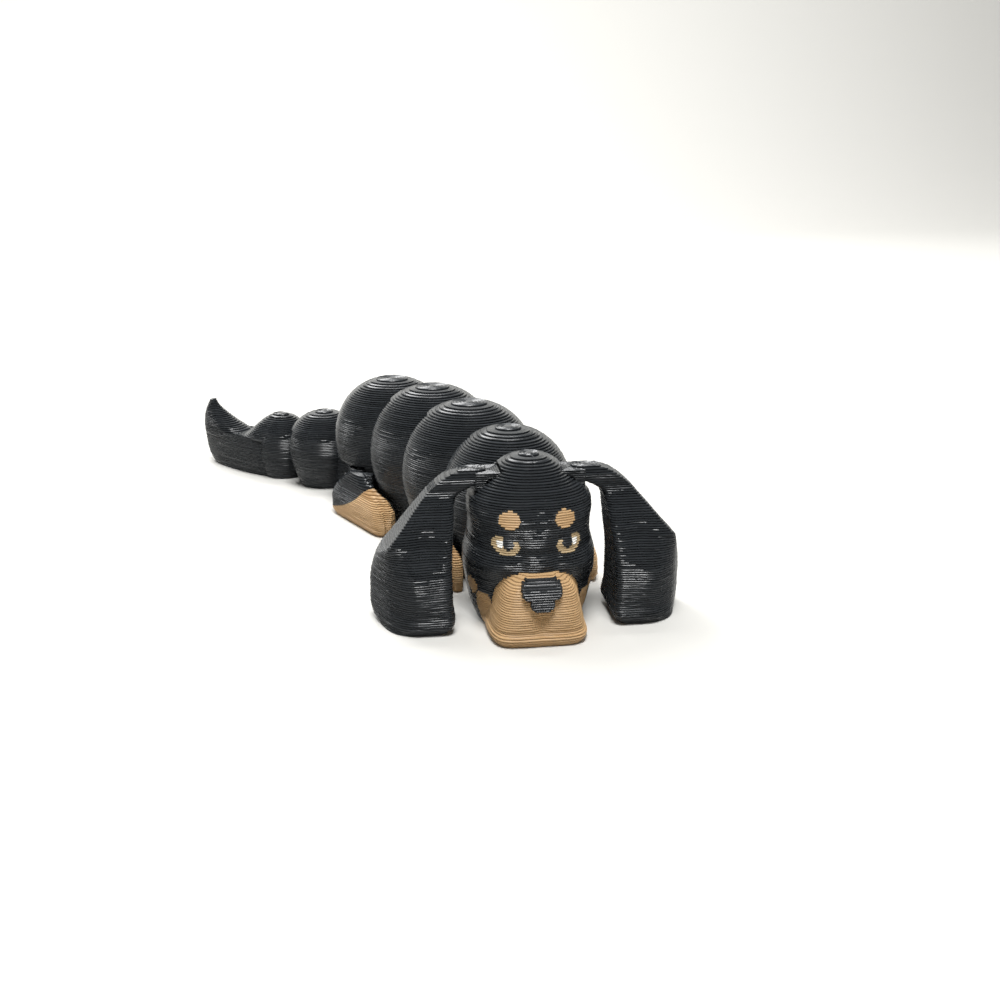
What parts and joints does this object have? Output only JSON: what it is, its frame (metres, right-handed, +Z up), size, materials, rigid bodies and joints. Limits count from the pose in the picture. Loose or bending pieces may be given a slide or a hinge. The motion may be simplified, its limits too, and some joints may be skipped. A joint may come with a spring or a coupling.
{
  "type": "articulated dachshund toy",
  "caption": "Small printed-in-place dachshund lying flat, with a chain of nested bead links on upright pins, long hinged ears, swinging legs and a curved tail.",
  "frame": {"origin": "centre of the chest bead's flat base, on its spine pin's axis, on the floor", "axes": "-Y is the way the chest faces, towards the head; +Z is up; +X is the dog's own left"},
  "size_m": [0.0483, 0.0676, 0.0157],
  "materials": {
    "black_filament": "semi-gloss black PLA with printed layer lines",
    "tan_filament": "satin tan PLA with printed layer lines",
    "ivory_filament": "satin ivory PLA",
    "white_filament": "semi-gloss white PLA"
  },
  "bodies": {
    "chest": {"chest": "black_filament"},
    "head": {"head_shell": "black_filament", "muzzle": "tan_filament", "nose": "black_filament", "brow_spots": "tan_filament", "cheek_spots": "tan_filament", "eye_whites": "ivory_filament", "pupils": "black_filament", "eye_glints": "white_filament"},
    "left_ear": {"left_ear": "black_filament"},
    "right_ear": {"right_ear": "black_filament"},
    "mid_front": {"mid_front": "black_filament"},
    "mid_rear": {"mid_rear": "black_filament"},
    "hips": {"hips": "black_filament"},
    "tail_base": {"tail_base": "black_filament"},
    "tail_tip": {"tail_tip": "black_filament"},
    "front_left_leg": {"front_left_leg": "black_filament", "front_left_paw": "tan_filament"},
    "front_right_leg": {"front_right_leg": "black_filament", "front_right_paw": "tan_filament"},
    "hind_left_leg": {"hind_left_leg": "black_filament", "hind_left_paw": "tan_filament"},
    "hind_right_leg": {"hind_right_leg": "black_filament", "hind_right_paw": "tan_filament"}
  },
  "joints": [
    {"name": "neck_turn", "type": "hinge", "parent": "chest", "child": "head", "pos_m": [0, -0.0086, 0], "axis": [0, 0, 1], "range_deg": [-17.5, 22.5]},
    {"name": "left_ear_lift", "type": "hinge", "parent": "head", "child": "left_ear", "pos_m": [0.00325, -0.00974, 0.0124], "axis": [-0.0436, -0.999, 0], "range_deg": [0, 40]},
    {"name": "right_ear_lift", "type": "hinge", "parent": "head", "child": "right_ear", "pos_m": [-0.00334, -0.00946, 0.0124], "axis": [0.0436, 0.999, 0], "range_deg": [0, 40]},
    {"name": "front_spine_bend", "type": "hinge", "parent": "chest", "child": "mid_front", "pos_m": [0, 0, 0], "axis": [0, 0, 1], "range_deg": [-35.5, 4.5]},
    {"name": "middle_spine_bend", "type": "hinge", "parent": "mid_front", "child": "mid_rear", "pos_m": [-0.00246, 0.00887, 0], "axis": [0, 0, 1], "range_deg": [-22, 18]},
    {"name": "rear_spine_bend", "type": "hinge", "parent": "mid_rear", "child": "hips", "pos_m": [-0.00523, 0.01764, 0], "axis": [0, 0, 1], "range_deg": [-27, 13]},
    {"name": "tail_root_bend", "type": "hinge", "parent": "hips", "child": "tail_base", "pos_m": [-0.00987, 0.02783, 0], "axis": [0, 0, 1], "range_deg": [-48, 4]},
    {"name": "tail_tip_bend", "type": "hinge", "parent": "tail_base", "child": "tail_tip", "pos_m": [-0.01712, 0.03471, 0], "axis": [0, 0, 1], "range_deg": [-29, 23]},
    {"name": "front_left_leg_swing", "type": "hinge", "parent": "chest", "child": "front_left_leg", "pos_m": [0.0052, 0, 0], "axis": [0, 0, 1], "range_deg": [0, 30]},
    {"name": "front_right_leg_swing", "type": "hinge", "parent": "chest", "child": "front_right_leg", "pos_m": [-0.0052, 0, 0], "axis": [0, 0, -1], "range_deg": [0, 30]},
    {"name": "hind_left_leg_swing", "type": "hinge", "parent": "hips", "child": "hind_left_leg", "pos_m": [-0.00369, 0.0268, 0], "axis": [0, 0, 1], "range_deg": [0, 30]},
    {"name": "hind_right_leg_swing", "type": "hinge", "parent": "hips", "child": "hind_right_leg", "pos_m": [-0.01315, 0.02249, 0], "axis": [0, 0, -1], "range_deg": [0, 30]}
  ]
}
